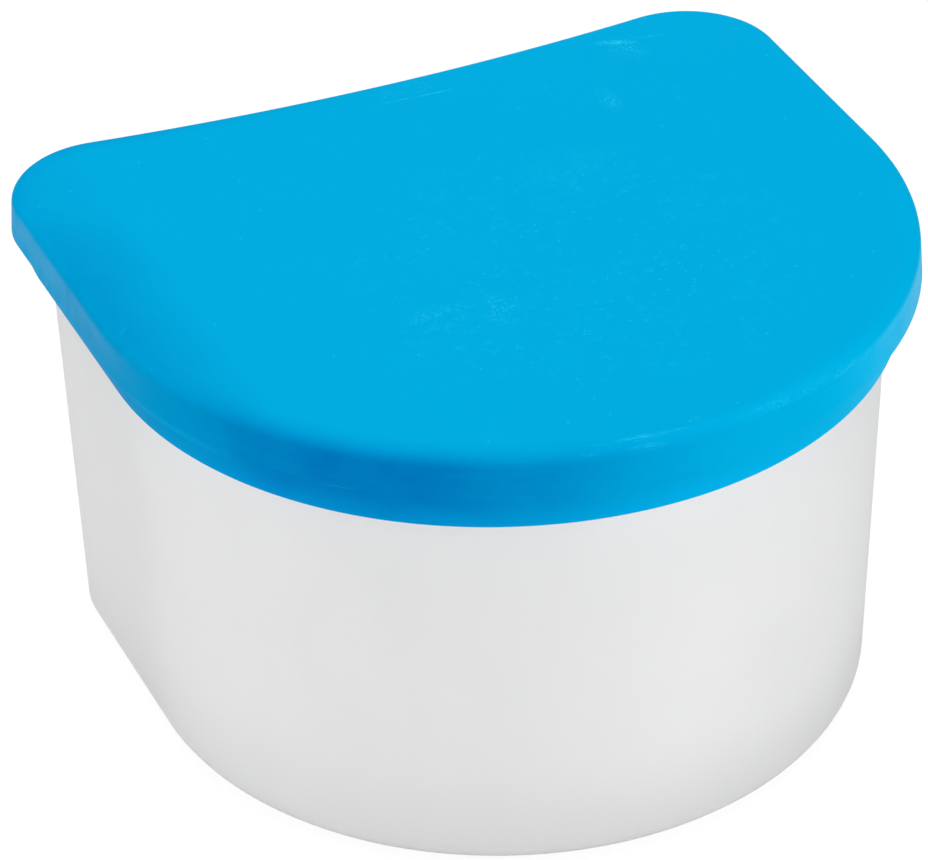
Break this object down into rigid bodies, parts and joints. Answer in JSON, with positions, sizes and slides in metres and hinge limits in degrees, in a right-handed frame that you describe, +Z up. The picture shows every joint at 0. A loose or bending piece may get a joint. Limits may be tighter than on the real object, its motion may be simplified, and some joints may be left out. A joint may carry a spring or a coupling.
{
  "type": "denture case",
  "caption": "Hollow-backed, round-nosed tub with tapered wall and a press-on lid whose stepped skirt overhangs the rim, for keeping dentures.",
  "frame": {"origin": "on the surface that the case stands on, under the middle of the lid's width and depth", "axes": "+Z up; +X across the width; +Y towards the hollow back, -Y towards the round nose"},
  "size_m": [0.096, 0.086, 0.0584],
  "materials": {
    "tub_plastic": "opaque pale moulded plastic with a soft satin sheen",
    "lid_plastic": "opaque bright blue moulded plastic, satin, with fine handling scuffs"
  },
  "bodies": {
    "tub": {"tub": "tub_plastic"},
    "lid": {"lid": "lid_plastic"}
  },
  "joints": [
    {"name": "lid_lift", "type": "slide", "parent": "tub", "child": "lid", "axis": [0, 0, 1], "range_m": [0, 0.08]}
  ]
}
